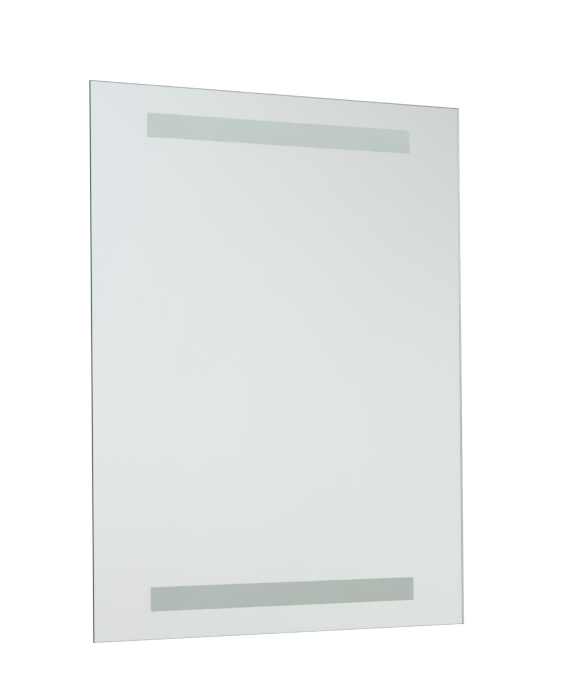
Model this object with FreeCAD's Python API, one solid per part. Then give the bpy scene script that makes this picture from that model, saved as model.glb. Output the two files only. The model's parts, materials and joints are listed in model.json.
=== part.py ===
import FreeCAD, Part
import math
import os

V = FreeCAD.Vector
os.makedirs("parts", exist_ok=True)

# Lighted bathroom mirror, millimetres.
# Frame: X to the right of a person who looks into the mirror, Y into the wall,
# Z up. The origin is the middle of the flat back that rests on the wall, so
# the mirror lies at negative Y.

# ---------------------------------------------------------------- dimensions
GLASS_W = 600.0            # pane width
GLASS_H = 800.0            # pane height
GLASS_T = 5.0              # float glass
FRONT_Y = -50.0            # front face of the glass
ARRIS = 0.35               # ground arris round the pane
COAT_GAP = 0.04            # the coat's face is drawn this far off the glass
COAT_T = 0.2               # silver with its protective paint, with that gap
TAPE_T = 1.0               # foam bonding tape

WIN_W = 427.0              # etched light window, width
WIN_LO, WIN_HI = 324.5, 359.5   # its lower and upper edge above the centre

TRAY_W = 554.0             # folded wall tray, outside
TRAY_H = 740.0
TRAY_D = 34.0
SHEET = 1.0                # tray sheet
LIP = 10.0                 # turned-in front lip, top and bottom
LIP_SIDE = 6.2             # and at the sides, past the lampholders

KEY_X, KEY_Z = 230.0, 300.0     # wall fixing points
KEY_SLOT_R = 2.75
KEY_HEAD_R = 5.0
KEY_RISE = 11.0
ENTRY_X, ENTRY_Z = 180.0, -215.0    # supply cable entry
ENTRY_R = 4.0

PIVOT_Y, PIVOT_Z = -38.5, 376.0     # line that the front swings about
STUD_R = 3.0
HOOK_R = 3.3

WEB_X = 280.0              # inside face of the carrier's side webs
WEB_T = 1.0
WEB_TOP = 386.0            # inside face of its top web
WEB_BOT = -371.5           # inside face of its bottom web
FLANGE_IN_X = 257.0
FLANGE_IN_Z = 361.5

LAMP_Z = 342.0             # height of each lamp above and below the centre
LAMP_Y = -24.0
TUBE_R = 8.0
TUBE_WALL = 0.8
CAP_R = 8.3
CAP_FACE = 258.45          # cap face to lamp centre: 516.9 mm lamp
CAP_L = 13.0
PIN_R = 1.175
PIN_L = 7.0
PIN_GAP = 4.75

HOLDER_IN = 258.8          # lampholder's inner face
HOLDER_T = 11.0
HOLDER_HALF = 11.0
ROTOR_R = 6.6
RECESS_R = 6.9
RECESS_D = 8.0

BAL_X0, BAL_X1 = -155.0, 35.0   # electronic ballast, its cover
BAL_Z, BAL_W, BAL_D = 40.0, 30.0, 21.0
BAL_SCREWS = ((BAL_X0 + 12.0, BAL_Z + 21.0), (BAL_X1 - 12.0, BAL_Z - 21.0))
BLOCK_X, BLOCK_Z = 180.0, -150.0    # mains terminal block
CLAMP_Z = ENTRY_Z + 28.0            # cord clamp above the cable entry
RIVET_X = (-200.0, -70.0, 70.0, 200.0)  # rivets along each reflector foot
EARTH_X, EARTH_Z = 130.0, -115.0

SW_X, SW_Y = 242.0, -11.0       # rocker switch in the bottom wall
ROCK_TILT = 12.0                # half of the rocker's throw, degrees

LEVEL_LAMP = -3.4          # the lamp leads lie on the back
LEVEL_MAINS = -7.0         # the mains leads cross above them
LEAD_R = 1.0
LEAD_BEND = 10.0

SCREW_X, SCREW_Y = 200.0, -28.0     # screws that hold the front shut


# ------------------------------------------------------------------- helpers
def box(x0, x1, y0, y1, z0, z1):
    return Part.makeBox(x1 - x0, y1 - y0, z1 - z0, V(x0, y0, z0))


def cyl(x, y, z, r, length, d):
    return Part.makeCylinder(r, length, V(x, y, z), V(*d))


def prism_x(pts, x0, x1):
    w = Part.makePolygon([V(x0, p[0], p[1]) for p in pts] + [V(x0, pts[0][0], pts[0][1])])
    return Part.Face(w).extrude(V(x1 - x0, 0, 0))


def prism_y(pts, y0, y1):
    w = Part.makePolygon([V(p[0], y0, p[1]) for p in pts] + [V(pts[0][0], y0, pts[0][1])])
    return Part.Face(w).extrude(V(0, y1 - y0, 0))


def prism_z(pts, z0, z1):
    w = Part.makePolygon([V(p[0], p[1], z0) for p in pts] + [V(pts[0][0], pts[0][1], z0)])
    return Part.Face(w).extrude(V(0, 0, z1 - z0))


def obround_x(cx, cy, z0, z1, length, width):
    """Slot along X, cut through a wall that faces Z."""
    r = width / 2.0
    h = length / 2.0 - r
    s = box(cx - h, cx + h, cy - r, cy + r, z0, z1)
    s = s.fuse(cyl(cx - h, cy, z0, r, z1 - z0, (0, 0, 1)))
    return s.fuse(cyl(cx + h, cy, z0, r, z1 - z0, (0, 0, 1)))


def edges_where(shape, test):
    return [e for e in shape.Edges if test(e)]


def along(e, axis, tol=1e-6):
    """True if a straight edge runs along the axis."""
    if e.Curve.TypeId != "Part::GeomLine":
        return False
    d = e.Vertexes[-1].Point.sub(e.Vertexes[0].Point)
    c = {"x": (abs(d.y), abs(d.z)), "y": (abs(d.x), abs(d.z)), "z": (abs(d.x), abs(d.y))}[axis]
    return max(c) < tol


def mid(e):
    b = e.BoundBox
    return V((b.XMin + b.XMax) / 2, (b.YMin + b.YMax) / 2, (b.ZMin + b.ZMax) / 2)


def fuse_all(parts):
    s = parts[0].multiFuse(parts[1:]) if len(parts) > 1 else parts[0]
    return s.removeSplitter()


def mirror_x(s):
    return s.mirror(V(0, 0, 0), V(1, 0, 0))


def hexagon(x, y0, z, af, t):
    r = af / 2.0 / math.cos(math.pi / 6)
    pts = [(x + r * math.cos(math.radians(60 * i)), z + r * math.sin(math.radians(60 * i))) for i in range(6)]
    return prism_y(pts, y0, y0 + t)


def pan_screw(x, y_under, z, r, length, head_r, head_t, cross=True):
    """Pan head screw that goes into the wall side (+Y) from its head."""
    shaft = cyl(x, y_under, z, r, length, (0, 1, 0))
    head = cyl(x, y_under - head_t, z, head_r, head_t, (0, 1, 0))
    rim = edges_where(head, lambda e: abs(e.BoundBox.YMin - (y_under - head_t)) < 1e-6 and e.BoundBox.YLength < 1e-6)
    head = head.makeFillet(head_t * 0.45, rim)
    s = shaft.fuse(head)
    if cross:
        a, b, d = head_r * 0.55, head_r * 0.12, head_t * 0.55
        s = s.cut(box(x - a, x + a, y_under - head_t - 1, y_under - head_t + d, z - b, z + b))
        s = s.cut(box(x - b, x + b, y_under - head_t - 1, y_under - head_t + d, z - a, z + a))
    return s.removeSplitter()


def lead(pts, r=LEAD_R, bend=LEAD_BEND, label="lead"):
    """Round lead along straight runs joined by tangent arcs."""
    p = [V(*q) for q in pts]
    edges, radii, length = [], [], 0.0
    at = p[0]
    for i in range(1, len(p) - 1):
        d1 = p[i].sub(p[i - 1])
        d2 = p[i + 1].sub(p[i])
        l1, l2 = d1.Length, d2.Length
        d1.normalize()
        d2.normalize()
        turn = math.acos(max(-1.0, min(1.0, d1.dot(d2))))
        R = min(bend, 0.45 * min(l1, l2) / math.tan(turn / 2))
        t = R * math.tan(turn / 2)
        a = p[i].sub(d1 * t)
        b = p[i].add(d2 * t)
        bis = d2.sub(d1)
        bis.normalize()
        m = p[i].add(bis * (R / math.cos(turn / 2) - R))
        if a.sub(at).Length > 1e-6:
            edges.append(Part.LineSegment(at, a).toShape())
            length += a.sub(at).Length
        edges.append(Part.Arc(a, m, b).toShape())
        length += R * turn
        radii.append(round(R, 2))
        at = b
    edges.append(Part.LineSegment(at, p[-1]).toShape())
    length += p[-1].sub(at).Length
    path = Part.Wire(edges)
    d = p[1].sub(p[0])
    d.normalize()
    circle = Part.Wire([Part.makeCircle(r, p[0], d)])
    s = path.makePipeShell([circle], True, False)
    want = math.pi * r * r * length
    print("%s: radii %s length %.1f volume %.1f against %.1f" % (label, radii, length, s.Volume, want))
    return s


def save(name, shape):
    if isinstance(shape, (list, tuple)):
        shape = Part.makeCompound(list(shape))
    n = len(shape.Solids)
    ok = all(s.isValid() and s.isClosed() for s in shape.Solids)
    print("%-24s solids %2d volume %10.1f valid %s" % (name, n, shape.Volume, ok))
    if n == 1:
        shape = shape.Solids[0]
    shape.exportStep("parts/%s.step" % name)


# ---------------------------------------------------------------- mirror pane
hw, hh = GLASS_W / 2, GLASS_H / 2
back_y = FRONT_Y + GLASS_T
glass = box(-hw, hw, FRONT_Y, back_y, -hh, hh)
rim = edges_where(glass, lambda e: not along(e, "y"))
glass = glass.makeChamfer(ARRIS, rim)
save("mirror_glass", glass)

cw, ch = hw - ARRIS, hh - ARRIS
coat = box(-cw, cw, back_y + COAT_GAP, back_y + COAT_T, -ch, ch)
for s in (1, -1):
    z0, z1 = sorted((s * WIN_LO, s * WIN_HI))
    coat = coat.cut(box(-WIN_W / 2, WIN_W / 2, back_y - 1, back_y + 1, z0, z1))
save("mirror_silvering", coat)

save("etched_windows", [
    box(-WIN_W / 2, WIN_W / 2, back_y + COAT_GAP, back_y + COAT_T, WIN_LO, WIN_HI),
    box(-WIN_W / 2, WIN_W / 2, back_y + COAT_GAP, back_y + COAT_T, -WIN_HI, -WIN_LO)])

tape_y = back_y + COAT_T
flange_y = tape_y + TAPE_T                  # front face of the carrier flange
flange_back = flange_y + WEB_T
out_x = WEB_X + WEB_T
out_top = WEB_TOP + WEB_T
out_bot = WEB_BOT - WEB_T
save("bonding_tape", [
    box(-278.5, -262.5, tape_y, flange_y, -358.0, 358.0),
    box(262.5, 278.5, tape_y, flange_y, -358.0, 358.0),
    box(-270.0, 270.0, tape_y, flange_y, 366.0, 384.0),
    box(-270.0, 270.0, tape_y, flange_y, -371.0, -363.0)])

# -------------------------------------------------------------- carrier frame
flange = box(-out_x, out_x, flange_y, flange_back, out_bot, out_top)
flange = flange.cut(box(-FLANGE_IN_X, FLANGE_IN_X, flange_y - 1, flange_back + 1, -FLANGE_IN_Z, FLANGE_IN_Z))
side_back, top_back, bot_back = -26.0, -36.0, -22.0
webs = [
    box(WEB_X, out_x, flange_y, side_back, out_bot, out_top),
    box(-out_x, -WEB_X, flange_y, side_back, out_bot, out_top),
    box(-out_x, out_x, flange_y, top_back, WEB_TOP, out_top),
    box(-out_x, out_x, flange_y, bot_back, out_bot, WEB_BOT)]
carrier = fuse_all([flange] + webs)
# rounded outer folds, front to side
folds = edges_where(carrier, lambda e: abs(mid(e).y - flange_y) < 1e-6 and (
    (along(e, "z") and abs(abs(mid(e).x) - out_x) < 1e-6) or
    (along(e, "x") and (abs(mid(e).z - out_top) < 1e-6 or abs(mid(e).z - out_bot) < 1e-6))))
carrier = carrier.makeFillet(0.9, folds)
for s in (1, -1):
    # hook slot: in from the back edge, then up to its closed end
    a, b = sorted((s * (WEB_X - 0.5), s * (out_x + 0.5)))
    slot = cyl(a, PIVOT_Y, PIVOT_Z, HOOK_R, b - a, (1, 0, 0))
    slot = slot.fuse(box(a, b, PIVOT_Y - HOOK_R, PIVOT_Y + HOOK_R, PIVOT_Z - 10, PIVOT_Z))
    slot = slot.fuse(cyl(a, PIVOT_Y, PIVOT_Z - 10, HOOK_R, b - a, (1, 0, 0)))
    slot = slot.fuse(box(a, b, PIVOT_Y, side_back + 1, PIVOT_Z - 10 - HOOK_R, PIVOT_Z - 10 + HOOK_R))
    carrier = carrier.cut(slot)
    # relief in the flange for the hinge ear
    a, b = sorted((s * 275.0, s * WEB_X))
    carrier = carrier.cut(box(a, b, flange_y - 1, flange_back + 1, 364.0, 385.0))
    # slot for the retaining screw, open to the back
    u = cyl(s * SCREW_X, SCREW_Y, out_bot - 1, 2.9, 3.0, (0, 0, 1))
    u = u.fuse(box(s * SCREW_X - 2.9, s * SCREW_X + 2.9, SCREW_Y, bot_back + 1, out_bot - 1, WEB_BOT + 1))
    carrier = carrier.cut(u)
    # drain and hanging holes in the flange
    for z in (-250.0, 0.0, 250.0):
        carrier = carrier.cut(cyl(s * 268.0, flange_y - 1, z, 2.5, 3.0, (0, 1, 0)))
# rounded back corners of the side webs
soft = edges_where(carrier, lambda e: along(e, "x") and abs(abs(mid(e).x) - (WEB_X + WEB_T / 2)) < 0.01
                   and abs(mid(e).y - side_back) < 1e-6)
carrier = carrier.makeFillet(1.5, [e for e in soft if abs(mid(e).z - out_top) < 1e-6])
save("carrier_frame", carrier)

# ------------------------------------------------------------------ wall tray
tw, th = TRAY_W / 2, TRAY_H / 2
outer = box(-tw, tw, -TRAY_D, 0, -th, th)
bends = edges_where(outer, lambda e: not (abs(mid(e).y + TRAY_D) < 1e-6))
outer = outer.makeFillet(2.0, bends)
inner = box(-tw + SHEET, tw - SHEET, -TRAY_D + SHEET, -SHEET, -th + SHEET, th - SHEET)
inner = inner.makeFillet(1.0, edges_where(inner, lambda e: not (abs(mid(e).y + TRAY_D - SHEET) < 1e-6)))
mouth = box(-tw + LIP_SIDE, tw - LIP_SIDE, -TRAY_D - 1, -TRAY_D + SHEET + 1, -th + LIP - 1, th - LIP + 1)
mouth = mouth.makeFillet(4.0, edges_where(mouth, lambda e: along(e, "y")))
tray = outer.cut(inner).cut(mouth)

# stiffening ribs pressed into the back, raised to the inside
ribs = [(230.0, -190.0, 190.0), (150.0, -190.0, 190.0), (-70.0, -150.0, 90.0), (-150.0, -150.0, 90.0), (-235.0, -150.0, 120.0)]
for z, x0, x1 in ribs:
    up = fuse_all([box(x0, x1, -2.0, -0.5, z - 5, z + 5),
                   cyl(x0, -2.0, z, 5.0, 1.5, (0, 1, 0)), cyl(x1, -2.0, z, 5.0, 1.5, (0, 1, 0))])
    tray = tray.fuse(up)
for z, x0, x1 in ribs:
    dn = fuse_all([box(x0, x1, -1.0, 1.0, z - 3.6, z + 3.6),
                   cyl(x0, -1.0, z, 3.6, 2.0, (0, 1, 0)), cyl(x1, -1.0, z, 3.6, 2.0, (0, 1, 0))])
    tray = tray.cut(dn)
# dish round the cable entry
tray = tray.fuse(cyl(ENTRY_X, -3.0, ENTRY_Z, 15.0, 2.5, (0, 1, 0)))
tray = tray.cut(cyl(ENTRY_X, -2.0, ENTRY_Z, 13.5, 3.0, (0, 1, 0)))
tray = tray.cut(cyl(ENTRY_X, -4.0, ENTRY_Z, 6.5, 5.0, (0, 1, 0)))
# wall fixing: keyholes above, plain holes below
for s in (1, -1):
    tray = tray.cut(cyl(s * KEY_X, -2.0, KEY_Z, KEY_HEAD_R, 3.0, (0, 1, 0)))
    tray = tray.cut(cyl(s * KEY_X, -2.0, KEY_Z + KEY_RISE, KEY_SLOT_R, 3.0, (0, 1, 0)))
    tray = tray.cut(box(s * KEY_X - KEY_SLOT_R, s * KEY_X + KEY_SLOT_R, -2.0, 1.0, KEY_Z, KEY_Z + KEY_RISE))
    tray = tray.cut(cyl(s * KEY_X, -2.0, -KEY_Z, KEY_SLOT_R, 3.0, (0, 1, 0)))
# air slots in the top and bottom walls
vents = []
for i in range(-4, 5):
    vents.append(obround_x(i * 40.0, -12.0, th - 2, th + 1, 24.0, 3.0))
    vents.append(obround_x(i * 40.0, -20.0, th - 2, th + 1, 24.0, 3.0))
    if abs(i) < 4:
        vents.append(obround_x(i * 40.0, -12.0, -th - 1, -th + 2, 24.0, 3.0))
        vents.append(obround_x(i * 40.0, -20.0, -th - 1, -th + 2, 24.0, 3.0))
tray = tray.cut(Part.makeCompound(vents))
# rocker switch cut-out, rivet nut holes, rivet holes
tray = tray.cut(box(SW_X - 9.55, SW_X + 9.55, SW_Y - 6.5, SW_Y + 6.5, -th - 1, -th + 2))
for s in (1, -1):
    tray = tray.cut(cyl(s * SCREW_X, SCREW_Y, -th - 1, 3.05, 3.0, (0, 0, 1)))
    for z in (338.0, 355.0):
        a = min(s * (tw - 2), s * (tw + 1))
        tray = tray.cut(cyl(a, -22.0, z, 1.65, 3.0, (1, 0, 0)))
pierce = []
for s in (1, -1):
    for z in (LAMP_Z, -LAMP_Z):
        pierce.append((s * (HOLDER_IN - 6.0), z, 1.5))
    pierce.append((BLOCK_X + s * 18.0, BLOCK_Z, 1.5))
    pierce.append((ENTRY_X + s * 11.3, CLAMP_Z, 1.5))
    for x in RIVET_X:
        for z in (LAMP_Z, -LAMP_Z):
            pierce.append((x, z + s * 20.2, 1.25))
for x, z in BAL_SCREWS:
    pierce.append((x, z, 2.0))
tray = tray.cut(Part.makeCompound([cyl(x, -1.5, z, r, 2.0, (0, 1, 0)) for x, z, r in pierce]))
save("rear_chassis", tray.removeSplitter())

# foam gasket on the front lip
g0 = -TRAY_D - 8.4
gasket = box(-tw + 1, tw - 1, g0, -TRAY_D, -th + 1, th - 1)
gasket = gasket.makeFillet(2.0, edges_where(gasket, lambda e: along(e, "y")))
gasket = gasket.cut(box(-tw + LIP_SIDE, tw - LIP_SIDE, g0 - 1, -TRAY_D + 1, -th + 8, th - 8))
save("rim_gasket", gasket)

# -------------------------------------------------------- hinge ears and studs
ears, studs, ear_rivets = [], [], []
EAR_R = 5.8
ear_t = 1.5
for s in (1, -1):
    x0, x1 = sorted((s * tw, s * (tw + ear_t)))
    prof = prism_x([(PIVOT_Y - EAR_R, PIVOT_Z), (PIVOT_Y + 4.1, PIVOT_Z + 4.1), (-14.0, 352.0),
                    (-14.0, 330.0), (-31.0, 330.0), (-31.5, 346.0)], x0, x1)
    ear = prof.fuse(cyl(x0, PIVOT_Y, PIVOT_Z, EAR_R, ear_t, (1, 0, 0))).removeSplitter()
    ear = ear.cut(cyl(x0 - 1, PIVOT_Y, PIVOT_Z, 2.55, ear_t + 2, (1, 0, 0)))
    for z in (338.0, 355.0):
        ear = ear.cut(cyl(x0 - 1, -22.0, z, 1.65, ear_t + 2, (1, 0, 0)))
    ears.append(ear)
    d = (s, 0, 0)
    stud = fuse_all([
        cyl(s * (tw - 1.2), PIVOT_Y, PIVOT_Z, 3.8, 1.2, d),
        cyl(s * tw, PIVOT_Y, PIVOT_Z, 2.5, ear_t, d),
        cyl(s * (tw + ear_t), PIVOT_Y, PIVOT_Z, STUD_R, 3.1, d),
        cyl(s * (tw + ear_t + 3.1), PIVOT_Y, PIVOT_Z, 5.0, 1.8, d)])
    outer_face = s * (tw + ear_t + 4.9)
    stud = stud.makeFillet(0.6, edges_where(stud, lambda e: abs(e.BoundBox.XMin - outer_face) < 1e-6
                                            and e.BoundBox.XLength < 1e-6))
    studs.append(stud)
    for z in (338.0, 355.0):
        rv = fuse_all([
            cyl(s * (tw - 2.0), -22.0, z, 2.6, 1.0, d),
            cyl(s * (tw - 1.0), -22.0, z, 1.6, ear_t + 1.0, d),
            cyl(s * (tw + ear_t), -22.0, z, 3.0, 0.9, d)])
        ear_rivets.append(rv)
save("hinge_ears", ears)
save("pivot_studs", studs)
save("ear_rivets", ear_rivets)

# ----------------------------------------------- screws that hold the front in
nuts, holders = [], []
for s in (1, -1):
    x = s * SCREW_X
    nut = fuse_all([cyl(x, SCREW_Y, -th - 0.8, 4.5, 0.8, (0, 0, 1)),
                    cyl(x, SCREW_Y, -th, 3.0, SHEET, (0, 0, 1)),
                    cyl(x, SCREW_Y, -th + SHEET, 3.6, 7.5, (0, 0, 1))])
    nut = nut.cut(cyl(x, SCREW_Y, -th - 2, 2.05, 14.0, (0, 0, 1)))
    nuts.append(nut)
    head = cyl(x, SCREW_Y, -376.2, 4.0, 3.2, (0, 0, 1))
    head = head.makeFillet(1.2, edges_where(head, lambda e: abs(e.BoundBox.ZMax + 376.2) < 1e-6
                                            and e.BoundBox.ZLength < 1e-6))
    sc = head.fuse(cyl(x, SCREW_Y, -373.0, 2.0, 13.0, (0, 0, 1)))
    sc = sc.cut(box(x - 2.3, x + 2.3, SCREW_Y - 0.5, SCREW_Y + 0.5, -377.0, -374.6))
    sc = sc.cut(box(x - 0.5, x + 0.5, SCREW_Y - 2.3, SCREW_Y + 2.3, -377.0, -374.6))
    holders.append(sc.removeSplitter())
save("rivet_nuts", nuts)
save("retaining_screws", holders)


# ------------------------------------------------------------------ reflectors
def reflector(zc):
    t = 0.6
    pts = [(-8, -8), (-18, -17), (-18, -17 - t), (-1 - t, -17 - t), (-1 - t, -22.5), (-1, -22.5), (-1, -17),
           (-16.7, -17), (-7.4, -8.3), (-7.4, 8.3), (-16.7, 17), (-1, 17), (-1, 22.5), (-1 - t, 22.5),
           (-1 - t, 17 + t), (-18, 17 + t), (-18, 17), (-8, 8)]
    r = prism_x([(p[0], zc + p[1]) for p in pts], -226.0, 226.0)
    for x in RIVET_X:
        for s in (1, -1):
            r = r.cut(cyl(x, -3.0, zc + s * 20.2, 1.3, 3.0, (0, 1, 0)))
    return r


def reflector_rivets(zc):
    out = []
    for x in RIVET_X:
        for s in (1, -1):
            h = cyl(x, -2.5, zc + s * 20.2, 2.0, 0.9, (0, 1, 0))
            h = h.makeFillet(0.4, edges_where(h, lambda e: abs(e.BoundBox.YMax + 2.5) < 1e-6))
            out.append(h.fuse(cyl(x, -1.6, zc + s * 20.2, 1.25, 1.5, (0, 1, 0))).removeSplitter())
    return out


save("upper_reflector", reflector(LAMP_Z))
save("lower_reflector", reflector(-LAMP_Z))
save("reflector_rivets", reflector_rivets(LAMP_Z) + reflector_rivets(-LAMP_Z))


# --------------------------------------------------- lampholders and their bits
def lampholder(s, zc, wire_side):
    """One push-and-twist holder. s is the side, wire_side the Z side of its leads."""
    x0, x1 = sorted((s * HOLDER_IN, s * (HOLDER_IN + HOLDER_T)))
    b = box(x0, x1, LAMP_Y, -SHEET, zc - HOLDER_HALF, zc + HOLDER_HALF)
    b = b.fuse(cyl(x0, LAMP_Y, zc, HOLDER_HALF, x1 - x0, (1, 0, 0))).removeSplitter()
    outer_x = s * (HOLDER_IN + HOLDER_T)
    b = b.makeFillet(0.8, edges_where(b, lambda e: abs(e.BoundBox.XMin - outer_x) < 1e-6
                                      and e.BoundBox.XLength < 1e-6
                                      and abs(mid(e).y + SHEET) > 0.01))
    # waist on both sides, as such holders have
    for q in (1, -1):
        z0, z1 = sorted((zc + q * 9.6, zc + q * 12.0))
        b = b.cut(box(x0 - 1, x1 + 1, -15.0, -8.0, z0, z1))
    r0 = min(s * HOLDER_IN, s * (HOLDER_IN + RECESS_D))
    b = b.cut(cyl(r0, LAMP_Y, zc, RECESS_R, RECESS_D, (1, 0, 0)))
    b = b.cut(box(r0, r0 + RECESS_D, LAMP_Y - HOLDER_HALF - 1, LAMP_Y, zc - 1.7, zc + 1.7))
    # screw foot towards the lamp's middle
    f0, f1 = sorted((s * (HOLDER_IN - 11.5), s * HOLDER_IN))
    foot = box(f0, f1, -4.0, -SHEET, zc - 6.0, zc + 6.0)
    tip = s * (HOLDER_IN - 11.5)
    foot = foot.makeFillet(3.0, edges_where(foot, lambda e: along(e, "y") and abs(mid(e).x - tip) < 1e-6))
    foot = foot.cut(cyl(s * (HOLDER_IN - 6.0), -5.0, zc, 1.65, 5.0, (0, 1, 0)))
    return b.fuse(foot).removeSplitter()


def rotor(s, zc):
    x0 = min(s * (HOLDER_IN + 0.5), s * (HOLDER_IN + 5.5))
    r = cyl(x0, LAMP_Y, zc, ROTOR_R, 5.0, (1, 0, 0))
    # at rest the pins lie across the holder, so the rotor's slot does too
    return r.cut(box(x0 - 1, x0 + 6, LAMP_Y - 1.3, LAMP_Y + 1.3, zc - 5.4, zc + 5.4))


def contacts(s, zc):
    out = []
    x0, x1 = sorted((s * (HOLDER_IN + 5.9), s * (HOLDER_IN + RECESS_D)))
    for q in (1, -1):
        z0, z1 = sorted((zc + q * 3.95, zc + q * 4.45))
        out.append(box(x0, x1, LAMP_Y - 3.0, LAMP_Y + 3.0, z0, z1))
    return out


def lamp(zc):
    gl = cyl(-CAP_FACE + 1.2, LAMP_Y, zc, TUBE_R, 2 * (CAP_FACE - 1.2), (1, 0, 0))
    gl = gl.cut(cyl(-CAP_FACE + 1.2 - 1, LAMP_Y, zc, TUBE_R - TUBE_WALL, 2 * CAP_FACE, (1, 0, 0)))
    caps, pins = [], []
    for s in (1, -1):
        d = (-s, 0, 0)
        c = cyl(s * CAP_FACE, LAMP_Y, zc, CAP_R, CAP_L, d)
        c = c.makeFillet(0.8, edges_where(c, lambda e: abs(e.BoundBox.XMin - s * CAP_FACE) < 1e-6
                                          and e.BoundBox.XLength < 1e-6))
        c = c.cut(cyl(s * (CAP_FACE - 1.2), LAMP_Y, zc, TUBE_R + 0.03, CAP_L, d))
        for q in (1, -1):
            z = zc + q * PIN_GAP / 2
            c = c.cut(cyl(s * (CAP_FACE + 1), LAMP_Y, z, PIN_R + 0.02, 3.0, d))
            pin = cyl(s * (CAP_FACE - 1.2), LAMP_Y, z, PIN_R, PIN_L + 1.2, (s, 0, 0))
            tip = s * (CAP_FACE + PIN_L)
            pin = pin.makeFillet(0.6, edges_where(pin, lambda e: abs(e.BoundBox.XMin - tip) < 1e-6
                                                  and e.BoundBox.XLength < 1e-6))
            pins.append(pin)
        caps.append(c)
    return gl, caps, pins


for name, zc in (("upper", LAMP_Z), ("lower", -LAMP_Z)):
    save(name + "_lampholders", [lampholder(1, zc, -1), lampholder(-1, zc, -1)])
    save(name + "_rotors", [rotor(1, zc), rotor(-1, zc)])
    gl, caps, pins = lamp(zc)
    save(name + "_lamp_tube", gl)
    save(name + "_lamp_caps", caps)
    save(name + "_lamp_pins", pins)

save("lamp_contacts", contacts(1, LAMP_Z) + contacts(-1, LAMP_Z) + contacts(1, -LAMP_Z) + contacts(-1, -LAMP_Z))
save("lampholder_screws", [pan_screw(s * (HOLDER_IN - 6.0), -4.0, z, 1.5, 3.8, 2.9, 1.8)
                           for s in (1, -1) for z in (LAMP_Z, -LAMP_Z)])

# -------------------------------------------------------------------- ballast
bz0, bz1 = BAL_Z - BAL_W / 2, BAL_Z + BAL_W / 2
base = box(BAL_X0 - 10, BAL_X1 + 10, -2.0, -SHEET, bz0, bz1)
for x, z in BAL_SCREWS:
    # a screw tab that stands out of each long side
    q = 1 if z > BAL_Z else -1
    t0, t1 = sorted((BAL_Z + q * (BAL_W / 2 - 1), z))
    base = base.fuse(box(x - 5.5, x + 5.5, -2.0, -SHEET, t0, t1)).fuse(cyl(x, -2.0, z, 5.5, 1.0, (0, 1, 0)))
base = base.removeSplitter()
for x, z in BAL_SCREWS:
    base = base.cut(cyl(x, -3.0, z, 2.1, 3.0, (0, 1, 0)))
save("ballast_base", base)

cover = box(BAL_X0, BAL_X1, -BAL_D - 1, -2.0, bz0, bz1)
cover = cover.makeFillet(1.2, edges_where(cover, lambda e: abs(mid(e).y + 2.0) > 1e-6))
cover = cover.cut(box(BAL_X0 + 0.7, BAL_X1 - 0.7, -BAL_D - 0.3, -1.0, bz0 + 0.7, bz1 - 0.7))
for x0, x1 in ((BAL_X0 - 1, BAL_X0 + 1), (BAL_X1 - 1, BAL_X1 + 1)):
    cover = cover.cut(box(x0, x1, -14.0, -1.0, BAL_Z - 12.6, BAL_Z + 12.6))
save("ballast_cover", cover)

board = box(BAL_X0 + 2, BAL_X1 - 2, -6.4, -4.8, bz0 + 1.4, bz1 - 1.4)
feet = [cyl(x, -4.8, z, 1.8, 2.8, (0, 1, 0)) for x in (BAL_X0 + 30, BAL_X1 - 30) for z in (BAL_Z - 8, BAL_Z + 8)]
save("ballast_board", fuse_all([board] + feet))

bits = []
for x, z, r, h in ((-20.0, 46.0, 5.0, 12.5), (-34.0, 46.0, 4.0, 11.0), (-110.0, 33.0, 4.0, 9.0)):
    bits.append(cyl(x, -6.4, z, r, h, (0, -1, 0)))
bits.append(box(-74.0, -54.0, -19.4, -6.4, 31.0, 49.0))      # choke
bits.append(box(-100.0, -82.0, -18.4, -6.4, 32.0, 48.0))     # second choke
bits.append(box(-8.0, 6.0, -17.4, -6.4, 30.0, 36.0))         # film capacitor
bits.append(box(-8.0, 6.0, -16.4, -6.4, 40.0, 48.0))         # inlet filter
bits.append(box(-130.0, -118.0, -14.4, -6.4, 30.0, 34.0))
bits.append(box(-46.0, -44.0, -17.4, -6.4, 30.0, 40.0))      # transistor
save("ballast_components", bits)


lamp_poles = [BAL_Z + 3.0 * (3.5 - i) for i in range(8)]
mains_poles = [46.0, 34.0]
outs = box(BAL_X0 - 10, BAL_X0 + 1.8, -13.6, -2.0, BAL_Z - 12.4, BAL_Z + 12.4)
for z in lamp_poles:
    outs = outs.cut(box(BAL_X0 - 8.6, BAL_X0 - 2.4, -14.0, -12.4, z - 0.7, z + 0.7))
ins = box(BAL_X1 - 1.8, BAL_X1 + 10, -13.6, -2.0, 28.0, 52.0)
for z in mains_poles:
    ins = ins.cut(box(BAL_X1 + 2.4, BAL_X1 + 8.6, -14.0, -12.4, z - 1.5, z + 1.5))
save("ballast_terminals", [outs, ins])
save("ballast_screws", [pan_screw(x, -2.0, z, 2.0, 1.8, 3.4, 2.3) for x, z in BAL_SCREWS])

# ------------------------------------------------------- mains terminal block
poles = [BLOCK_X - 10.0, BLOCK_X, BLOCK_X + 10.0]        # earth, neutral, live
blk = box(BLOCK_X - 21.0, BLOCK_X + 21.0, -5.0, -SHEET, BLOCK_Z - 7.0, BLOCK_Z + 7.0)
blk = blk.makeFillet(2.5, edges_where(blk, lambda e: along(e, "y")))
parts = [blk]
for x in poles:
    b = box(x - 4.6, x + 4.6, -16.0, -4.9, BLOCK_Z - 10.0, BLOCK_Z + 10.0)
    b = b.makeFillet(1.0, edges_where(b, lambda e: abs(mid(e).y + 16.0) < 1e-6))
    parts.append(b)
    parts.append(box(x - 5.1, x + 5.1, -12.0, -4.9, BLOCK_Z - 6.0, BLOCK_Z + 6.0))
blk = fuse_all(parts)
for x in poles:
    for q in (1, -1):
        blk = blk.cut(cyl(x, -17.0, BLOCK_Z + q * 5.0, 1.9, 6.0, (0, 1, 0)))
    blk = blk.cut(cyl(x, LEVEL_MAINS, BLOCK_Z - 11.0, 1.7, 7.0, (0, 0, 1)))
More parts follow.
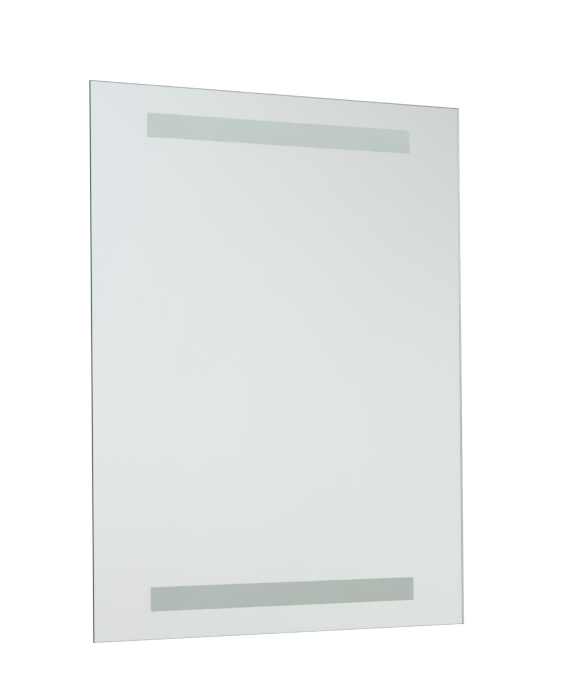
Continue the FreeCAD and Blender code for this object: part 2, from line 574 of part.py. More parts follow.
for q in (1, -1):
    blk = blk.cut(cyl(BLOCK_X + q * 18.0, -6.0, BLOCK_Z, 1.6, 6.0, (0, 1, 0)))
save("terminal_block", blk.removeSplitter())
t_screws = []
for x in poles:
    for q in (1, -1):
        z = BLOCK_Z + q * 5.0
        c = cyl(x, -13.6, z, 1.75, 2.6, (0, 1, 0))
        t_screws.append(c.cut(box(x - 2, x + 2, -14.0, -12.9, z - 0.3, z + 0.3)))
save("terminal_screws", t_screws)
save("block_fixing_screws", [pan_screw(BLOCK_X + q * 18.0, -5.0, BLOCK_Z, 1.5, 4.8, 2.8, 1.9) for q in (1, -1)])

# -------------------------------------------------- cable entry and cord clamp
gr = fuse_all([cyl(ENTRY_X, -4.5, ENTRY_Z, 9.0, 1.5, (0, 1, 0)),
               cyl(ENTRY_X, -3.0, ENTRY_Z, 6.5, 1.0, (0, 1, 0)),
               cyl(ENTRY_X, -2.0, ENTRY_Z, 9.0, 1.6, (0, 1, 0))])
gr = gr.makeFillet(0.6, edges_where(gr, lambda e: (abs(e.BoundBox.YMax + 4.5) < 1e-6 or abs(e.BoundBox.YMin + 0.4) < 1e-6)
                                    and e.BoundBox.YLength < 1e-6))
gr = gr.cut(cyl(ENTRY_X, -6.0, ENTRY_Z, ENTRY_R, 8.0, (0, 1, 0)))
save("cable_grommet", gr)

cz = CLAMP_Z
pts = [(-16, -1), (-16, -3), (-6.5, -3), (-6.5, -9), (-4.5, -11), (4.5, -11), (6.5, -9), (6.5, -3), (16, -3), (16, -1),
       (4.6, -1), (4.6, -8), (3.4, -9.1), (-3.4, -9.1), (-4.6, -8), (-4.6, -1)]
clamp = prism_z([(ENTRY_X + p[0], p[1]) for p in pts], cz - 5.0, cz + 5.0)
clamp = clamp.makeFillet(2.0, edges_where(clamp, lambda e: along(e, "y") and abs(abs(mid(e).x - ENTRY_X) - 16) < 1e-6))
for q in (1, -1):
    clamp = clamp.cut(cyl(ENTRY_X + q * 11.3, -4.0, cz, 1.65, 4.0, (0, 1, 0)))
save("cord_clamp", clamp)
save("clamp_screws", [pan_screw(ENTRY_X + q * 11.3, -3.0, cz, 1.5, 2.8, 2.8, 1.9) for q in (1, -1)])

# ------------------------------------------------------------------ earth stud
save("earth_stud", fuse_all([cyl(EARTH_X, -SHEET, EARTH_Z, 4.0, 0.8, (0, -1, 0)),
                             cyl(EARTH_X, -SHEET, EARTH_Z, 2.0, 12.0, (0, -1, 0))]))
hole = cyl(EARTH_X, -20.0, EARTH_Z, 2.02, 30.0, (0, 1, 0))
save("earth_nuts", [hexagon(EARTH_X, -5.4, EARTH_Z, 7.0, 3.6).cut(hole),
                    cyl(EARTH_X, -7.0, EARTH_Z, 4.4, 0.8, (0, 1, 0)).cut(hole),
                    hexagon(EARTH_X, -10.2, EARTH_Z, 7.0, 3.2).cut(hole)])
tag = cyl(EARTH_X, -6.2, EARTH_Z, 4.0, 0.8, (0, 1, 0)).fuse(box(EARTH_X, EARTH_X + 9.0, -6.2, -5.4, EARTH_Z - 1.7, EARTH_Z + 1.7))
tag = tag.fuse(cyl(EARTH_X + 8.0, LEVEL_MAINS, EARTH_Z, 1.75, 6.0, (1, 0, 0))).cut(hole)
save("earth_ring_tag", tag.removeSplitter())

# --------------------------------------------------------------- rocker switch
ROCK_Z = -367.0
hs = box(SW_X - 10.5, SW_X + 10.5, SW_Y - 7.5, SW_Y + 7.5, -th - 2.0, -th)
hs = hs.makeFillet(1.0, edges_where(hs, lambda e: abs(mid(e).z + th) > 1e-6))
hs = hs.fuse(box(SW_X - 9.5, SW_X + 9.5, SW_Y - 6.45, SW_Y + 6.45, -th - 0.5, -352.0)).removeSplitter()
hs = hs.cut(box(SW_X - 8.9, SW_X + 8.9, SW_Y - 5.6, SW_Y + 5.6, -th - 3.0, -361.0))
for q in (1, -1):
    hs = hs.cut(cyl(SW_X, SW_Y + q * 5.5, ROCK_Z, 1.08, 0.8, (0, q, 0)))
    # snap wedges that grip the sheet from inside
    x0 = SW_X + q * 9.5
    w = prism_y([(x0, -368.9), (x0 + q * 1.1, -368.9), (x0, -363.0)], SW_Y - 3.0, SW_Y + 3.0)
    hs = hs.fuse(w)
save("switch_housing", hs.removeSplitter())

rk = prism_y([(SW_X + u, ROCK_Z - w) for u, w in
              ((-7.2, 4.6), (0, 3.5), (7.2, 4.6), (7.2, 2.4), (2.2, -1.6), (-2.2, -1.6), (-7.2, 2.4))],
             SW_Y - 5.2, SW_Y + 5.2)
rk = rk.makeFillet(0.5, edges_where(rk, lambda e: along(e, "y") and abs(mid(e).z - (ROCK_Z - 4.6)) < 1e-6))
for q in (1, -1):
    rk = rk.fuse(cyl(SW_X, SW_Y + q * 5.0, ROCK_Z, 1.0, 1.1, (0, q, 0)))
rk = rk.removeSplitter()
rk.rotate(V(SW_X, SW_Y, ROCK_Z), V(0, 1, 0), -ROCK_TILT)
save("switch_rocker", rk)
save("switch_tabs", [box(SW_X + q - 2.4, SW_X + q + 2.4, LEVEL_MAINS - 0.4, LEVEL_MAINS + 0.4, -352.0, -345.0)
                     for q in (-4.5, 4.5)])
boots = []
for q in (-4.5, 4.5):
    b = box(SW_X + q - 3.2, SW_X + q + 3.2, LEVEL_MAINS - 1.6, LEVEL_MAINS + 1.6, -350.5, -338.0)
    b = b.makeFillet(1.0, edges_where(b, lambda e: along(e, "z") or abs(mid(e).z + 338.0) < 1e-6))
    b = b.cut(box(SW_X + q - 2.45, SW_X + q + 2.45, LEVEL_MAINS - 0.45, LEVEL_MAINS + 0.45, -351.0, -344.9))
    boots.append(b)
save("tab_sleeves", boots)

# -------------------------------------------------------------- internal leads
yl, ym = LEVEL_LAMP, LEVEL_MAINS
xa, xb = 262.2, 266.2          # where the pairs enter the lampholders
zin = LAMP_Z - HOLDER_HALF
x_out = BAL_X0 - 10
P = lamp_poles
up = [
    lead([(x_out, yl, P[0]), (x_out - 12, yl, P[0]), (x_out - 12, yl, 68.0), (xb, yl, 68.0), (xb, yl, zin)], bend=7.0, label="upper right a"),
    lead([(x_out, yl, P[1]), (x_out - 16, yl, P[1]), (x_out - 16, yl, 72.0), (xa, yl, 72.0), (xa, yl, zin)], bend=8.0, label="upper right b"),
    lead([(x_out, yl, P[2]), (-xa, yl, P[2]), (-xa, yl, zin)], label="upper left a"),
    lead([(x_out, yl, P[3]), (-xb, yl, P[3]), (-xb, yl, zin)], bend=13.0, label="upper left b")]
save("upper_lamp_leads", up)
lo = [
    lead([(x_out, yl, P[4]), (-xb, yl, P[4]), (-xb, yl, -zin)], bend=13.0, label="lower left a"),
    lead([(x_out, yl, P[5]), (-xa, yl, P[5]), (-xa, yl, -zin)], label="lower left b"),
    lead([(x_out, yl, P[6]), (x_out - 16, yl, P[6]), (x_out - 16, yl, -290.0), (xa, yl, -290.0), (xa, yl, -zin)], bend=8.0, label="lower right a"),
    lead([(x_out, yl, P[7]), (x_out - 12, yl, P[7]), (x_out - 12, yl, -286.0), (xb, yl, -286.0), (xb, yl, -zin)], bend=7.0, label="lower right b")]
save("lower_lamp_leads", lo)

LR = 1.15
x_in = BAL_X1 + 10
top_z = BLOCK_Z + 10.0
live = [
    lead([(poles[2], ym, top_z), (poles[2], ym, -118.0), (SW_X - 4.5, ym, -118.0), (SW_X - 4.5, ym, -338.0)], r=LR, bend=12.0, label="live to switch"),
    lead([(SW_X + 4.5, ym, -338.0), (SW_X + 4.5, ym, mains_poles[0]), (x_in, ym, mains_poles[0])], r=LR, bend=18.0, label="switched live")]
save("live_leads", live)
save("neutral_lead", lead([(poles[1], ym, top_z), (poles[1], ym, mains_poles[1]), (x_in, ym, mains_poles[1])], r=LR, bend=14.0, label="neutral"))
save("earth_lead", lead([(poles[0], ym, top_z), (poles[0], ym, EARTH_Z), (EARTH_X + 14.0, ym, EARTH_Z)], r=LR, bend=11.0, label="earth"))


def saddle(cx, cz, run, width, level, r):
    """Self-adhesive clip over leads that run along 'x' or 'z'."""
    top = level - r - 0.25
    half = width / 2.0 + 0.35
    pts = [(-half - 4.5, -1.0), (-half - 4.5, -2.0), (-half - 1.2, -2.0), (-half - 1.2, top - 0.4), (-half - 0.6, top - 1.2),
           (half + 0.6, top - 1.2), (half + 1.2, top - 0.4), (half + 1.2, -2.0), (half + 4.5, -2.0), (half + 4.5, -1.0),
           (half, -1.0), (half, top), (-half, top), (-half, -1.0)]
    if run == "z":
        return prism_z([(cx + a, b) for a, b in pts], cz - 4.0, cz + 4.0)
    return prism_x([(b, cz + a) for a, b in pts], cx - 4.0, cx + 4.0)


pair = (xb - xa) + 2 * LEAD_R
clips = []
for z in (120.0, 230.0):
    clips.append(saddle((xa + xb) / 2, z, "z", pair, yl, LEAD_R))
    clips.append(saddle(-(xa + xb) / 2, z, "z", pair, yl, LEAD_R))
clips.append(saddle(-(xa + xb) / 2, -70.0, "z", pair, yl, LEAD_R))
clips.append(saddle(-(xa + xb) / 2, -230.0, "z", pair, yl, LEAD_R))
for z in (-60.0, -200.0):
    clips.append(saddle(x_out - 14, z, "z", 6.0, yl, LEAD_R))
for x in (-100.0, 60.0, 160.0):
    clips.append(saddle(x, 70.0, "x", 6.0, yl, LEAD_R))
for x in (-90.0, 60.0, 150.0):
    clips.append(saddle(x, -288.0, "x", 6.0, yl, LEAD_R))
for z in (-160.0, -250.0):
    clips.append(saddle(SW_X, z, "z", 9.0 + 2 * LR, ym, LR))
clips.append(saddle(SW_X + 4.5, -40.0, "z", 2 * LR, ym, LR))
clips.append(saddle(BLOCK_X, -60.0, "z", 2 * LR, ym, LR))
save("lead_clips", clips)
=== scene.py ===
import bpy
import bmesh
import json
import math
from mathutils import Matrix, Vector

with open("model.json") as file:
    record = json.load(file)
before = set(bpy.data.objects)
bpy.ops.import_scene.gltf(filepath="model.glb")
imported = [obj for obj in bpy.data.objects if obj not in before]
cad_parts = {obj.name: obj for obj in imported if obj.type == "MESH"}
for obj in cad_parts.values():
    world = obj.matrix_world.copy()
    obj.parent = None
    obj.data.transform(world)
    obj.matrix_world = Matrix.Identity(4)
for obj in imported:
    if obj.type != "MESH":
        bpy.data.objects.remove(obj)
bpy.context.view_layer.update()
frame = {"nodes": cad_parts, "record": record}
N = frame["nodes"]
sc = bpy.context.scene

# ------------------------------------------------------------------ the camera
cam_data = bpy.data.cameras.new("camera")
cam = bpy.data.objects.new("camera", cam_data)
sc.collection.objects.link(cam)
cam.location = (-1.131454, -2.576225, -0.131512)
cam.rotation_euler = (1.5839171, 0.0083539, -0.4181996)
cam_data.sensor_width = 36.0
cam_data.lens = 95.9380
cam_data.shift_x = 0.0
cam_data.shift_y = 0.1106938
cam_data.clip_start = 0.05
cam_data.clip_end = 100.0
cam_data.dof.use_dof = False
sc.camera = cam

sc.view_settings.view_transform = "Standard"
sc.view_settings.look = "None"
sc.cycles.max_bounces = 48
sc.cycles.transmission_bounces = 40
sc.cycles.glossy_bounces = 32
sc.cycles.diffuse_bounces = 5
sc.cycles.transparent_max_bounces = 16
sc.cycles.caustics_refractive = True
sc.cycles.caustics_reflective = True
sc.cycles.blur_glossy = 0.3


# ------------------------------------------------------------ material helpers
class Mat:
    """A node material round one Principled shader."""

    def __init__(self, name, color, rough, metal=0.0, **sockets):
        self.m = bpy.data.materials.new(name)
        self.m.use_nodes = True
        self.t = self.m.node_tree
        self.t.nodes.clear()
        self.out = self.new("ShaderNodeOutputMaterial")
        self.b = self.new("ShaderNodeBsdfPrincipled")
        self.link(self.b.outputs[0], self.out.inputs["Surface"])
        self.b.inputs["Base Color"].default_value = (*color, 1.0)
        self.b.inputs["Roughness"].default_value = rough
        self.b.inputs["Metallic"].default_value = metal
        for k, v in sockets.items():
            self.b.inputs[k.replace("_", " ")].default_value = v
        self.color, self.rough = color, rough
        self.coord = None

    def new(self, kind):
        return self.t.nodes.new(kind)

    def link(self, a, b):
        self.t.links.new(a, b)

    def obj(self, stretch=None):
        if self.coord is None:
            self.coord = self.new("ShaderNodeTexCoord")
        if stretch is None:
            return self.coord.outputs["Object"]
        mp = self.new("ShaderNodeMapping")
        mp.inputs["Scale"].default_value = stretch
        self.link(self.coord.outputs["Object"], mp.inputs["Vector"])
        return mp.outputs["Vector"]

    def noise(self, scale, detail=3.0, rough=0.5, stretch=None):
        n = self.new("ShaderNodeTexNoise")
        n.inputs["Scale"].default_value = scale
        n.inputs["Detail"].default_value = detail
        n.inputs["Roughness"].default_value = rough
        self.link(self.obj(stretch), n.inputs["Vector"])
        return n.outputs["Fac"]

    def voronoi(self, scale, feature="F1", stretch=None, out="Distance"):
        n = self.new("ShaderNodeTexVoronoi")
        n.feature = feature
        n.inputs["Scale"].default_value = scale
        self.link(self.obj(stretch), n.inputs["Vector"])
        return n.outputs[out]

    def math(self, op, a, b=None, clamp=False):
        n = self.new("ShaderNodeMath")
        n.operation = op
        n.use_clamp = clamp
        for i, v in enumerate((a, b)):
            if v is None:
                continue
            if isinstance(v, (int, float)):
                n.inputs[i].default_value = v
            else:
                self.link(v, n.inputs[i])
        return n.outputs[0]

    def remap(self, src, a0, a1, b0, b1, smooth=False):
        n = self.new("ShaderNodeMapRange")
        n.interpolation_type = "SMOOTHSTEP" if smooth else "LINEAR"
        n.inputs["From Min"].default_value = a0
        n.inputs["From Max"].default_value = a1
        n.inputs["To Min"].default_value = b0
        n.inputs["To Max"].default_value = b1
        self.link(src, n.inputs["Value"])
        return n.outputs[0]

    def mix(self, fac, c0, c1):
        n = self.new("ShaderNodeMix")
        n.data_type = "RGBA"
        for sock, v in ((n.inputs["A"] if False else n.inputs[6], c0), (n.inputs[7], c1)):
            if isinstance(v, tuple):
                sock.default_value = (*v[:3], 1.0)
            else:
                self.link(v, sock)
        if isinstance(fac, (int, float)):
            n.inputs[0].default_value = fac
        else:
            self.link(fac, n.inputs[0])
        return n.outputs[2]

    def base(self, out):
        self.link(out, self.b.inputs["Base Color"])
        return self

    def vary(self, amount, scale, detail=4.0, stretch=None):
        """Colour that drifts a little, as paint, metal and mouldings do."""
        lo = tuple(max(0.0, c * (1 - amount)) for c in self.color)
        hi = tuple(min(1.0, c * (1 + amount * 0.6)) for c in self.color)
        f = self.remap(self.noise(scale, detail, stretch=stretch), 0.3, 0.7, 0.0, 1.0)
        return self.base(self.mix(f, lo, hi))

    def rough_vary(self, lo, hi, scale, detail=4.0, stretch=None):
        f = self.remap(self.noise(scale, detail, stretch=stretch), 0.3, 0.7, lo, hi)
        self.link(f, self.b.inputs["Roughness"])
        return self

    def bump(self, src, strength, dist):
        n = self.new("ShaderNodeBump")
        n.inputs["Strength"].default_value = strength
        n.inputs["Distance"].default_value = dist
        self.link(src, n.inputs["Height"])
        self.link(n.outputs[0], self.b.inputs["Normal"])
        return self

    def axes(self):
        n = self.new("ShaderNodeSeparateXYZ")
        self.link(self.obj(), n.inputs[0])
        return n.outputs


M = {}

# clear float glass, faintly green in the depth
g = Mat("clear_glass", (1.0, 1.0, 1.0), 0.0, Transmission_Weight=1.0, IOR=1.52)
va = g.new("ShaderNodeVolumeAbsorption")
va.inputs["Color"].default_value = (0.30, 0.82, 0.66, 1.0)
va.inputs["Density"].default_value = 4.0
g.link(va.outputs[0], g.out.inputs["Volume"])
g.rough_vary(0.0, 0.004, 9.0)
M["clear_glass"] = g.m

# the ground rim of the pane, with the depth of the glass behind it
g = Mat("ground_edge", (0.03, 0.12, 0.085), 0.12, Transmission_Weight=1.0, IOR=1.3, Specular_IOR_Level=0.1)
va = g.new("ShaderNodeVolumeAbsorption")
va.inputs["Color"].default_value = (0.30, 0.82, 0.66, 1.0)
va.inputs["Density"].default_value = 4.0
g.link(va.outputs[0], g.out.inputs["Volume"])
drift = g.remap(g.noise(60.0, 4.0), 0.3, 0.7, 0.0, 1.0)
g.base(g.mix(drift, (0.34, 0.62, 0.48), (0.42, 0.73, 0.58)))
g.rough_vary(0.08, 0.15, 300.0)
g.bump(g.noise(900.0, 3.0), 0.15, 0.0002)
M["ground_edge"] = g.m

# the same rim on the left and underneath, ground matt, in a darker green than the rest of the rim: painted shade on
# those sides
g = Mat("matt_rim_painted_shade", (0.02, 0.062, 0.046), 0.55, Specular_IOR_Level=0.1)
g.vary(0.22, 60.0)
g.rough_vary(0.48, 0.62, 300.0)
g.bump(g.noise(900.0, 3.0), 0.15, 0.0002)
M["matt_rim_painted_shade"] = g.m

# the fine matt facet between the rim and the faces, darkened low on the right with painted shade
g = Mat("matt_arris", (0.85, 0.92, 0.88), 0.6, Specular_IOR_Level=0.2)
ax = g.axes()
# painted shade: the facet goes dark low down on the right edge
painted_shade_low_right = g.math("MULTIPLY", g.remap(ax[0], 0.290, 0.298, 0.0, 1.0), g.remap(ax[2], 0.22, -0.12, 0.0, 1.0, smooth=True))
fine = g.remap(g.noise(400.0, 3.0), 0.3, 0.7, 0.0, 1.0)
g.base(g.mix(painted_shade_low_right, g.mix(fine, (0.82, 0.89, 0.85), (0.87, 0.94, 0.90)), (0.10, 0.15, 0.13)))
g.bump(g.noise(1800.0, 2.0), 0.2, 0.0001)
M["matt_arris"] = g.m

g = Mat("silver_face", (0.955, 0.965, 0.96), 0.0, 1.0)
g.vary(0.004, 3.0)
M["silver_face"] = g.m

g = Mat("mirror_back_paint", (0.27, 0.30, 0.32), 0.55)
g.vary(0.10, 14.0, stretch=(1.0, 1.0, 0.12))
g.rough_vary(0.45, 0.62, 60.0)
g.bump(g.noise(700.0, 3.0), 0.25, 0.0002)
M["mirror_back_paint"] = g.m

g = Mat("etched_glass", (0.86, 0.93, 0.91), 0.65, Transmission_Weight=0.12, IOR=1.45)
ax = g.axes()
# painted light and shade: the frosted strips lighter and cooler at the top, darker and warmer towards the bottom
low = g.remap(ax[2], 0.30, -0.30, 0.0, 1.0)
cloud = g.remap(g.noise(5.0, 2.0), 0.3, 0.7, 0.0, 1.0)
g.base(g.mix(low, g.mix(cloud, (0.83, 0.91, 0.885), (0.87, 0.95, 0.925)), g.mix(cloud, (0.775, 0.84, 0.78), (0.815, 0.885, 0.84))))
g.bump(g.noise(2600.0, 2.0), 0.3, 0.0001)
M["etched_glass"] = g.m

g = Mat("foam_tape", (0.80, 0.80, 0.77), 0.85)
g.vary(0.06, 40.0)
g.bump(g.noise(1500.0, 4.0), 0.5, 0.0004)
M["foam_tape"] = g.m

g = Mat("zinc_steel", (0.60, 0.62, 0.64), 0.34, 1.0)
cell = g.voronoi(95.0, out="Color")
bw = g.new("ShaderNodeRGBToBW")
g.link(cell, bw.inputs[0])
g.base(g.mix(g.remap(bw.outputs[0], 0.2, 0.8, 0.0, 1.0), (0.54, 0.56, 0.585), (0.66, 0.675, 0.69)))
g.link(g.remap(bw.outputs[0], 0.1, 0.9, 0.27, 0.42), g.b.inputs["Roughness"])
g.bump(g.noise(260.0, 4.0, stretch=(0.15, 1.0, 1.0)), 0.08, 0.0003)
M["zinc_steel"] = g.m

g = Mat("white_powder_coat", (0.80, 0.80, 0.785), 0.48)
g.vary(0.025, 5.0)
g.rough_vary(0.42, 0.52, 120.0)
g.bump(g.noise(900.0, 3.0, 0.55), 0.22, 0.00025)
M["white_powder_coat"] = g.m

g = Mat("black_foam", (0.035, 0.035, 0.038), 0.95)
g.vary(0.35, 300.0)
pores = g.math("ADD", g.voronoi(1100.0), g.noise(2200.0, 3.0))
g.bump(pores, 0.8, 0.0007)
M["black_foam"] = g.m

g = Mat("screw_steel", (0.62, 0.61, 0.59), 0.28, 1.0)
g.vary(0.10, 400.0)
g.rough_vary(0.2, 0.38, 700.0)
g.bump(g.noise(1500.0, 3.0), 0.08, 0.0001)
M["screw_steel"] = g.m

g = Mat("rivet_aluminium", (0.74, 0.75, 0.76), 0.36, 1.0)
g.vary(0.06, 500.0)
g.rough_vary(0.3, 0.45, 900.0)
M["rivet_aluminium"] = g.m

g = Mat("white_enamel", (0.84, 0.84, 0.83), 0.22, Coat_Weight=0.3, Coat_Roughness=0.08)
g.vary(0.015, 12.0)
g.rough_vary(0.18, 0.28, 60.0)
g.bump(g.noise(160.0, 2.0), 0.05, 0.0003)
M["white_enamel"] = g.m

g = Mat("white_plastic", (0.82, 0.82, 0.78), 0.33)
g.vary(0.03, 90.0)
g.rough_vary(0.28, 0.4, 500.0)
g.bump(g.noise(1800.0, 2.0), 0.1, 0.0001)
M["white_plastic"] = g.m

# lamp: white powder under glass, a little darker at both ends
g = Mat("lamp_glass", (0.86, 0.87, 0.86), 0.5, Coat_Weight=1.0, Coat_Roughness=0.02)
ax = g.axes()
end = g.remap(g.math("ABSOLUTE", ax[0]), 0.212, 0.246, 0.0, 1.0, smooth=True)
blot = g.remap(g.noise(60.0, 3.0), 0.35, 0.7, 0.55, 1.0)
g.base(g.mix(g.math("MULTIPLY", end, blot), (0.86, 0.87, 0.86), (0.55, 0.53, 0.50)))
M["lamp_glass"] = g.m

g = Mat("cap_aluminium", (0.74, 0.75, 0.77), 0.3, 1.0)
g.vary(0.07, 220.0, stretch=(0.1, 1.0, 1.0))
g.rough_vary(0.24, 0.4, 300.0, stretch=(0.1, 1.0, 1.0))
M["cap_aluminium"] = g.m

g = Mat("brass", (0.72, 0.55, 0.27), 0.3, 1.0)
g.vary(0.15, 350.0)
g.rough_vary(0.22, 0.42, 600.0)
M["brass"] = g.m

g = Mat("ballast_white", (0.74, 0.755, 0.755), 0.35)
g.vary(0.02, 20.0)
g.rough_vary(0.3, 0.42, 200.0)
g.bump(g.noise(700.0, 2.0), 0.12, 0.0002)
M["ballast_white"] = g.m

g = Mat("circuit_board", (0.03, 0.14, 0.05), 0.35)
br = g.new("ShaderNodeTexBrick")
br.inputs["Scale"].default_value = 60.0
br.inputs["Color1"].default_value = (0.03, 0.14, 0.05, 1)
br.inputs["Color2"].default_value = (0.04, 0.17, 0.06, 1)
br.inputs["Mortar"].default_value = (0.06, 0.25, 0.09, 1)
br.inputs["Mortar Size"].default_value = 0.06
mp = g.new("ShaderNodeMapping")
mp.inputs["Rotation"].default_value = (math.pi / 2, 0, 0)
g.link(g.obj(), mp.inputs[0])
g.link(mp.outputs[0], br.inputs["Vector"])
g.base(br.outputs["Color"])
M["circuit_board"] = g.m

g = Mat("component_black", (0.03, 0.03, 0.034), 0.42)
g.vary(0.25, 200.0)
g.bump(g.noise(1200.0, 2.0), 0.15, 0.0001)
M["component_black"] = g.m

g = Mat("grey_plastic", (0.46, 0.47, 0.475), 0.45)
g.vary(0.05, 80.0)
g.bump(g.noise(1500.0, 2.0), 0.15, 0.00012)
M["grey_plastic"] = g.m

g = Mat("natural_plastic", (0.74, 0.72, 0.64), 0.4, Subsurface_Weight=0.15, Subsurface_Radius=(0.004, 0.004, 0.003), Subsurface_Scale=0.3)
g.vary(0.04, 90.0)
g.rough_vary(0.34, 0.48, 500.0)
M["natural_plastic"] = g.m

g = Mat("black_rubber", (0.025, 0.025, 0.025), 0.7)
g.vary(0.3, 150.0)
g.bump(g.noise(1300.0, 3.0), 0.25, 0.00015)
M["black_rubber"] = g.m

g = Mat("tinned_copper", (0.68, 0.67, 0.64), 0.32, 1.0)
g.vary(0.08, 400.0)
g.rough_vary(0.26, 0.42, 700.0)
M["tinned_copper"] = g.m

g = Mat("black_plastic", (0.022, 0.022, 0.024), 0.3)
g.vary(0.2, 120.0)
g.rough_vary(0.26, 0.4, 700.0)
g.bump(g.noise(2000.0, 2.0), 0.12, 0.0001)
M["black_plastic"] = g.m

for name, col in (("lead_white", (0.78, 0.78, 0.75)), ("lead_brown", (0.13, 0.055, 0.028)), ("lead_blue", (0.03, 0.10, 0.38))):
    g = Mat(name, col, 0.32)
    g.vary(0.06, 70.0)
    g.rough_vary(0.27, 0.4, 300.0)
    M[name] = g.m

# earth lead: a yellow side and a green side
g = Mat("lead_green_yellow", (0.55, 0.55, 0.05), 0.34)
ax = g.axes()
g.base(g.mix(g.remap(ax[1], -0.00758, -0.00748, 0.0, 1.0), (0.72, 0.58, 0.03), (0.05, 0.26, 0.05)))
g.rough_vary(0.28, 0.4, 300.0)
M["lead_green_yellow"] = g.m

slots = {s["node"]: s["material_slot"] for s in frame["record"]["subparts"]}


def paint(ob, *mats):
    me = ob.data
    me.materials.clear()
    for m in mats:
        me.materials.append(m)


for name, ob in N.items():
    s = slots[name]
    if name == "mirror_silvering":
        # the face towards the glass is the silver, all else its paint
        paint(ob, M["mirror_back_paint"], M["silver_face"])
        for p in ob.data.polygons:
            p.material_index = 1 if p.normal.y < -0.9 else 0
    elif name == "mirror_glass":
        paint(ob, M["clear_glass"], M["ground_edge"], M["matt_arris"], M["matt_rim_painted_shade"])
        for p in ob.data.polygons:
            n = p.normal
            if abs(n.y) > 0.9:
                p.material_index = 0    # the faces
            elif n.x < -0.5 or n.z < -0.9:
                # the left side and underside take the rim darkened with painted shade
                p.material_index = 3    # the left side with its arrises, and the underside
            elif abs(n.y) < 0.5:
                p.material_index = 1    # the rest of the rim
            else:
                p.material_index = 2 if n.y > 0 or n.x > 0.5 else 0
    else:
        paint(ob, M[s])

# ----------------------------------------------------------------- the studio
world = bpy.data.worlds.new("studio")
sc.world = world
world.use_nodes = True
wt = world.node_tree
wt.nodes.clear()
wo = wt.nodes.new("ShaderNodeOutputWorld")
bg = wt.nodes.new("ShaderNodeBackground")
wt.links.new(bg.outputs[0], wo.inputs[0])
tc = wt.nodes.new("ShaderNodeTexCoord")
sep = wt.nodes.new("ShaderNodeSeparateXYZ")
wt.links.new(tc.outputs["Generated"], sep.inputs[0])


def wmath(op, a, b=None):
    n = wt.nodes.new("ShaderNodeMath")
    n.operation = op
    for i, v in enumerate((a, b)):
        if v is None:
            continue
        if isinstance(v, (int, float)):
            n.inputs[i].default_value = v
        else:
            wt.links.new(v, n.inputs[i])
    return n.outputs[0]


def wstep(src, a, b):
    n = wt.nodes.new("ShaderNodeMapRange")
    n.interpolation_type = "SMOOTHSTEP"
    n.inputs["From Min"].default_value = a
    n.inputs["From Max"].default_value = b
    wt.links.new(src, n.inputs["Value"])
    return n.outputs[0]


def wmix(fac, c0, c1):
    n = wt.nodes.new("ShaderNodeMix")
    n.data_type = "RGBA"
    for sock, v in ((n.inputs[6], c0), (n.inputs[7], c1)):
        if isinstance(v, tuple):
            sock.default_value = (*v, 1.0)
        else:
            wt.links.new(v, sock)
    wt.links.new(fac, n.inputs[0])
    return n.outputs[2]


# The camera sees a white sweep. The mirror sees a pale room: cooler up on the
# left, dim high up on the right, greener to the right, warmer low on the left.
def blob(under, color, u0, v0, ru, rv, strength):
    du = wmath("DIVIDE", wmath("SUBTRACT", U, u0), ru)
    dv = wmath("DIVIDE", wmath("SUBTRACT", W, v0), rv)
    d = wmath("SQRT", wmath("ADD", wmath("MULTIPLY", du, du), wmath("MULTIPLY", dv, dv)))
    return wmix(wmath("MULTIPLY", wstep(d, 1.0, 0.0), strength), under, color)


ahead = wmath("MAXIMUM", wmath("MULTIPLY", sep.outputs[1], -1.0), 0.05)
U = wmath("DIVIDE", sep.outputs[0], ahead)
W = wmath("DIVIDE", sep.outputs[2], ahead)
room = blob((0.835, 0.83, 0.83), (0.79, 0.83, 0.88), 0.22, 0.22, 0.30, 0.44, 0.85)
room = blob(room, (0.76, 0.80, 0.76), 0.68, 0.00, 0.36, 0.45, 0.85)
room = blob(room, (0.50, 0.51, 0.51), 0.70, 0.34, 0.48, 0.36, 0.85)
room = blob(room, (0.66, 0.65, 0.625), 0.28, -0.27, 0.36, 0.30, 0.95)
room = blob(room, (0.73, 0.745, 0.72), 0.50, -0.30, 0.42, 0.32, 0.9)
path = wt.nodes.new("ShaderNodeLightPath")
through = wmath("MULTIPLY", path.outputs["Is Transmission Ray"], wstep(sep.outputs[1], 0.5, 0.8))
back = wmix(through, (0.47, 0.48, 0.48), (1.0, 1.0, 1.0))
room = wmix(wstep(sep.outputs[1], -0.35, 0.15), room, back)
room = wmix(wstep(sep.outputs[2], 0.45, 0.85), room, (0.70, 0.715, 0.715))
sky = wmix(path.outputs["Is Camera Ray"], room, (1.06, 1.06, 1.06))
wt.links.new(sky, bg.inputs["Color"])
bg.inputs["Strength"].default_value = 1.0
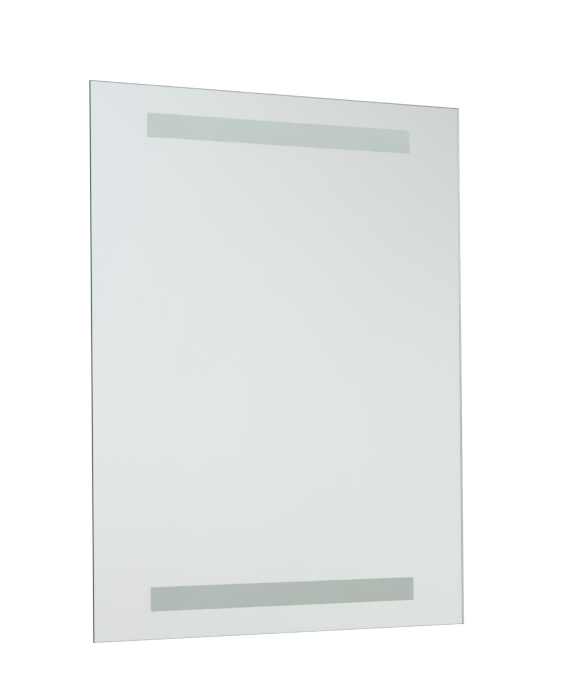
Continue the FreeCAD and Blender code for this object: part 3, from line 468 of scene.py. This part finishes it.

# the floor melts into the white sweep towards its rim: it glows with painted light, faintly in its middle and up to
# the white of the sweep at its rim, brighter still where the camera sees it directly
floor_mat = Mat("studio_floor", (0.88, 0.88, 0.88), 0.7, Specular_IOR_Level=0.1, Emission_Color=(1.0, 1.0, 1.0, 1.0))
reach = floor_mat.new("ShaderNodeVectorMath")
reach.operation = "LENGTH"
floor_mat.link(floor_mat.obj(), reach.inputs[0])
far = floor_mat.remap(reach.outputs["Value"], 0.4, 4.0, 0.22, 1.0, smooth=True)
grain = floor_mat.remap(floor_mat.noise(0.6, 3.0), 0.3, 0.7, 0.0, 1.0)
floor_mat.base(floor_mat.mix(far, floor_mat.mix(grain, (0.865, 0.865, 0.865), (0.885, 0.885, 0.885)), (0.0, 0.0, 0.0)))
seen = floor_mat.remap(floor_mat.new("ShaderNodeLightPath").outputs["Is Camera Ray"], 0.0, 1.0, 0.82, 1.06)
floor_mat.link(floor_mat.math("MULTIPLY", far, seen), floor_mat.b.inputs["Emission Strength"])
me = bpy.data.meshes.new("studio_floor")
bm = bmesh.new()
bmesh.ops.create_circle(bm, cap_ends=True, segments=96, radius=4.2)
bm.to_mesh(me)
bm.free()
floor = bpy.data.objects.new("studio_floor", me)
floor.location = (0.0, 0.0, -1.45)
sc.collection.objects.link(floor)
me.materials.append(floor_mat.m)


def area(name, loc, target, size, power, color=(1, 1, 1), glossy=False):
    d = bpy.data.lights.new(name, "AREA")
    d.shape = "RECTANGLE"
    d.size, d.size_y = size
    d.energy = power
    d.color = color
    o = bpy.data.objects.new(name, d)
    o.location = loc
    o.rotation_euler = (Vector(target) - Vector(loc)).to_track_quat("-Z", "Y").to_euler()
    o.visible_glossy = glossy
    sc.collection.objects.link(o)
    return o


area("key_light", (-2.2, -2.6, 2.4), (0, 0, 0), (1.8, 1.8), 20.0, (1.0, 0.99, 0.97))
area("top_light", (-0.22, -1.5, 1.6), (0, -0.05, 0.2), (0.9, 0.5), 9.2, (0.96, 1.0, 1.0))
area("back_light", (1.8, 2.6, 1.8), (0, 0, 0), (1.6, 1.6), 30.0, (0.97, 0.99, 1.0))

bpy.context.view_layer.update()
